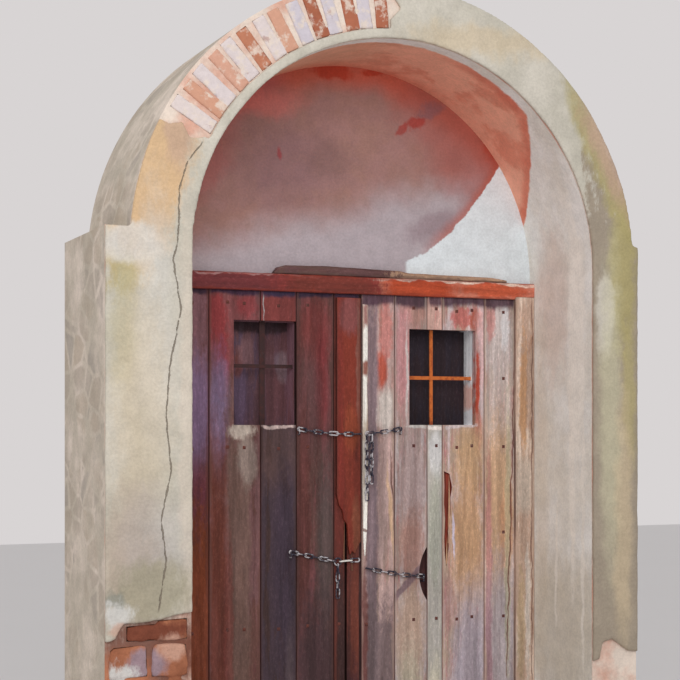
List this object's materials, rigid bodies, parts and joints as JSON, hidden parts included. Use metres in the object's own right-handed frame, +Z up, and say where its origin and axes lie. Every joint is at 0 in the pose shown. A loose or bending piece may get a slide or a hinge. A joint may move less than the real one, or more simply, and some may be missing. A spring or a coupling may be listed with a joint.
{
  "type": "arched double plank door with masonry surround",
  "caption": "Old double plank door with barred windows and chains, under a timber beam in a plastered round-arched masonry surround; the leaves swing inwards.",
  "frame": {"origin": "underside of the threshold, in the middle of the opening, in line with the panel's face over the door", "axes": "+X to the right seen from outside, +Y into the building, +Z up"},
  "size_m": [2.23, 0.625, 3.29],
  "materials": {
    "stone": "worn",
    "masonry": "rough limewashed",
    "brick": "weathered",
    "rubble": "rough",
    "plaster": "rough lime plaster",
    "panel_plaster": "stained lime plaster",
    "frame_wood": "peeling paint",
    "beam_wood": "faded red paint",
    "board_wood": "weathered",
    "left_leaf_wood": "faded red paint",
    "right_leaf_wood": "peeling paint",
    "inner_wood": "bare old wood",
    "strip_wood": "faded red paint",
    "lath_wood": "chalky white paint",
    "rusty_iron": "rusty",
    "dark_iron": "rusty",
    "chain_iron": "worn",
    "bright_steel": "bright"
  },
  "bodies": {
    "surround": {"threshold": "stone", "left_jamb": "masonry", "right_jamb": "masonry", "arch_ring": "masonry", "arch_bricks": "brick", "left_jamb_stones": "rubble", "arch_plaster": "plaster", "left_jamb_plaster": "plaster", "right_jamb_plaster": "plaster", "tympanum": "panel_plaster", "left_post": "frame_wood", "right_post": "frame_wood", "head_beam": "beam_wood", "ledge_board": "board_wood", "left_pintles": "dark_iron", "right_pintles": "dark_iron"},
    "left_leaf": {"left_plank_1": "left_leaf_wood", "left_plank_2": "left_leaf_wood", "left_plank_3_upper": "left_leaf_wood", "left_plank_3_lower": "left_leaf_wood", "left_plank_4": "left_leaf_wood", "left_plank_5": "left_leaf_wood", "left_ledge_top": "inner_wood", "left_ledge_upper": "inner_wood", "left_ledge_lower": "inner_wood", "left_ledge_bottom": "inner_wood", "left_window_lining": "inner_wood", "left_window_board": "inner_wood", "left_window_bar_vertical": "rusty_iron", "left_window_bar_horizontal": "rusty_iron", "left_leaf_nails": "dark_iron", "left_strap_upper": "dark_iron", "left_strap_lower": "dark_iron", "upper_chain_left": "chain_iron", "lower_chain_left": "chain_iron", "left_staples": "chain_iron", "cover_strip": "strip_wood", "chain_ring": "chain_iron", "long_link": "bright_steel"},
    "right_leaf": {"right_plank_1": "right_leaf_wood", "right_plank_2": "right_leaf_wood", "right_plank_3_upper": "right_leaf_wood", "right_plank_3_lower": "right_leaf_wood", "right_plank_4": "right_leaf_wood", "right_plank_5": "right_leaf_wood", "right_ledge_top": "inner_wood", "right_ledge_upper": "inner_wood", "right_ledge_lower": "inner_wood", "right_ledge_bottom": "inner_wood", "right_window_lining": "inner_wood", "right_window_board": "inner_wood", "right_window_bar_vertical": "rusty_iron", "right_window_bar_horizontal": "rusty_iron", "right_leaf_nails": "dark_iron", "right_strap_upper": "dark_iron", "right_strap_lower": "dark_iron", "upper_chain_right": "chain_iron", "lower_chain_right": "chain_iron", "right_staples": "chain_iron", "edge_lath": "lath_wood"}
  },
  "joints": [
    {"name": "left_leaf_hinge", "type": "hinge", "parent": "surround", "child": "left_leaf", "pos_m": [-0.7665, 0.044, 1.1], "axis": [0, 0, 1], "range_deg": [0, 95]},
    {"name": "right_leaf_hinge", "type": "hinge", "parent": "surround", "child": "right_leaf", "pos_m": [0.7665, 0.044, 1.1], "axis": [0, 0, -1], "range_deg": [0, 95]}
  ]
}
